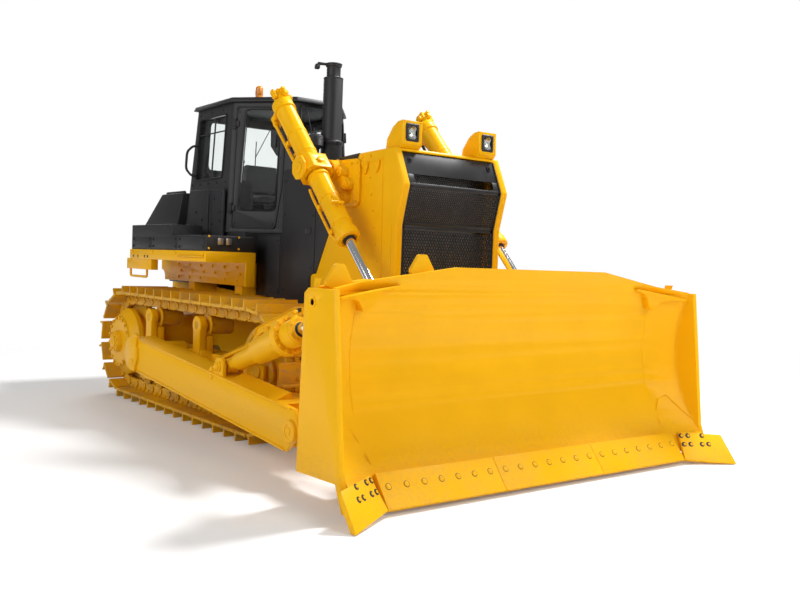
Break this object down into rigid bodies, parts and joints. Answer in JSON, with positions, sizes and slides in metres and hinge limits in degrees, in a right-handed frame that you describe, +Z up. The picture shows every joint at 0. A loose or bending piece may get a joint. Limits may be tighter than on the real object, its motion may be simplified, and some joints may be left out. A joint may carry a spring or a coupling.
{
  "type": "crawler bulldozer",
  "caption": "Crawler bulldozer with a semi-U blade on push arms, lift and tilt cylinders, enclosed cab and steel tracks.",
  "frame": {"origin": "on the ground under the middle of the overall box", "axes": "+X forwards to the blade, +Y to the left side of the machine, +Z up"},
  "size_m": [6.8848, 4.1376, 3.724],
  "materials": {
    "amber_lens": "gloss",
    "black_paint": "satin",
    "chrome_rod": "polished",
    "clear_glass": "clear",
    "dark_steel": "satin",
    "lamp_lens": "clear",
    "seat_vinyl": "matte",
    "trim_plastic": "matte",
    "yellow_paint": "semi-gloss"
  },
  "bodies": {
    "root": {"air_cleaner": "black_paint", "beacon": "amber_lens", "belly_guard": "yellow_paint", "cab_base": "black_paint", "cab_body": "black_paint", "cab_glass": "clear_glass", "cab_roof": "black_paint", "carrier_rollers": "yellow_paint", "control_consoles": "trim_plastic", "drawbar_hitch": "yellow_paint", "engine_block": "dark_steel", "engine_hood": "black_paint", "exhaust_stack": "black_paint", "fender_boxes": "black_paint", "fenders": "yellow_paint", "final_drives": "yellow_paint", "grille": "black_paint", "headlight_housings": "yellow_paint", "headlight_lenses": "lamp_lens", "idlers": "yellow_paint", "lift_brackets": "yellow_paint", "main_frame": "yellow_paint", "pivot_shafts": "dark_steel", "radiator_core": "dark_steel", "radiator_cowl": "yellow_paint", "rear_tank": "black_paint", "seat": "seat_vinyl", "sprockets": "yellow_paint", "track_frames": "yellow_paint", "track_left": "yellow_paint", "track_right": "yellow_paint", "track_rollers": "yellow_paint"},
    "trunnion_rings": {"trunnion_rings": "dark_steel"},
    "arm_right": {"push_arm_right": "yellow_paint"},
    "arm_left": {"push_arm_left": "yellow_paint"},
    "blade": {"blade": "yellow_paint", "cutting_edge": "yellow_paint", "end_bits": "yellow_paint"},
    "tilt_barrel": {"tilt_barrel": "yellow_paint"},
    "tilt_rod": {"tilt_rod": "chrome_rod"},
    "tilt_brace": {"tilt_brace": "yellow_paint"},
    "lift_yoke_right": {"lift_yoke_right": "yellow_paint"},
    "lift_yoke_left": {"lift_yoke_left": "yellow_paint"},
    "lift_barrel_right": {"lift_barrel_right": "yellow_paint"},
    "lift_barrel_left": {"lift_barrel_left": "yellow_paint"},
    "lift_rod_right": {"lift_rod_right": "chrome_rod"},
    "lift_rod_left": {"lift_rod_left": "chrome_rod"},
    "door_right": {"door_right": "black_paint", "door_glass_right": "clear_glass"},
    "door_left": {"door_left": "black_paint", "door_glass_left": "clear_glass"}
  },
  "joints": [
    {"name": "blade_lift", "type": "hinge", "parent": "root", "child": "trunnion_rings", "pos_m": [-1.01, 0, 0.668], "axis": [0, -1, 0], "range_deg": [-7.5, 21]},
    {"name": "blade_tilt", "type": "hinge", "parent": "trunnion_rings", "child": "blade", "pos_m": [2.125, 0, 0.4], "axis": [0.9964, 0, -0.0852], "range_deg": [-7, 7]},
    {"name": "arm_left_swing", "type": "hinge", "parent": "trunnion_rings", "child": "arm_left", "pos_m": [-1.01, 1.625, 0.668], "axis": [0, -1, 0], "range_deg": [-4, 4]},
    {"name": "arm_right_swing", "type": "hinge", "parent": "trunnion_rings", "child": "arm_right", "pos_m": [-1.01, -1.625, 0.668], "axis": [0, -1, 0], "range_deg": [-4, 4]},
    {"name": "tilt_barrel_swing", "type": "hinge", "parent": "arm_right", "child": "tilt_barrel", "pos_m": [0.905, -1.625, 0.745], "axis": [0.3142, -0.3494, -0.8827], "range_deg": [-6, 6]},
    {"name": "tilt_rod_slide", "type": "slide", "parent": "tilt_barrel", "child": "tilt_rod", "axis": [0.9421, 0, 0.3353], "range_m": [-0.08, 0.08]},
    {"name": "tilt_brace_swing", "type": "hinge", "parent": "arm_left", "child": "tilt_brace", "pos_m": [0.905, 1.625, 0.745], "axis": [0.3142, 0.3494, -0.8827], "range_deg": [-6, 6]},
    {"name": "lift_yoke_right_swing", "type": "hinge", "parent": "root", "child": "lift_yoke_right", "pos_m": [0.942, -0.87, 2.49], "axis": [0, -1, 0], "range_deg": [-12, 27]},
    {"name": "lift_barrel_right_sway", "type": "hinge", "parent": "lift_yoke_right", "child": "lift_barrel_right", "pos_m": [0.942, -0.87, 2.49], "axis": [0.7281, 0, 0.6854], "range_deg": [-3, 3]},
    {"name": "lift_rod_right_slide", "type": "slide", "parent": "lift_barrel_right", "child": "lift_rod_right", "axis": [0.6854, 0, -0.7281], "range_m": [-1.05, 0.42]},
    {"name": "lift_yoke_left_swing", "type": "hinge", "parent": "root", "child": "lift_yoke_left", "pos_m": [0.942, 0.87, 2.49], "axis": [0, -1, 0], "range_deg": [-12, 27]},
    {"name": "lift_barrel_left_sway", "type": "hinge", "parent": "lift_yoke_left", "child": "lift_barrel_left", "pos_m": [0.942, 0.87, 2.49], "axis": [0.7281, 0, 0.6854], "range_deg": [-3, 3]},
    {"name": "lift_rod_left_slide", "type": "slide", "parent": "lift_barrel_left", "child": "lift_rod_left", "axis": [0.6854, 0, -0.7281], "range_m": [-1.05, 0.42]},
    {"name": "door_right_swing", "type": "hinge", "parent": "root", "child": "door_right", "pos_m": [-0.67086, -0.87902, 2.64006], "axis": [0.0329, -0.0258, -0.9991], "range_deg": [0, 110]},
    {"name": "door_left_swing", "type": "hinge", "parent": "root", "child": "door_left", "pos_m": [-0.67086, 0.87902, 2.64006], "axis": [-0.0329, -0.0258, 0.9991], "range_deg": [0, 110]}
  ],
  "couplings": [
    {"joint": "arm_left_swing", "follows": "blade_tilt", "ratio": 0.5165},
    {"joint": "arm_right_swing", "follows": "blade_tilt", "ratio": -0.5165},
    {"joint": "tilt_barrel_swing", "follows": "blade_tilt", "ratio": 0.5905},
    {"joint": "tilt_rod_slide", "follows": "blade_tilt", "m_per_rad": -0.373},
    {"joint": "tilt_brace_swing", "follows": "blade_tilt", "ratio": 0.5905},
    {"joint": "lift_yoke_right_swing", "follows": "blade_lift", "ratio": 1.2},
    {"joint": "lift_barrel_right_sway", "follows": "blade_tilt", "ratio": -0.2571},
    {"joint": "lift_rod_right_slide", "follows": "blade_lift", "m_per_rad": -2.6184},
    {"joint": "lift_yoke_left_swing", "follows": "blade_lift", "ratio": 1.2},
    {"joint": "lift_barrel_left_sway", "follows": "blade_tilt", "ratio": -0.2571},
    {"joint": "lift_rod_left_slide", "follows": "blade_lift", "m_per_rad": -2.6184}
  ]
}
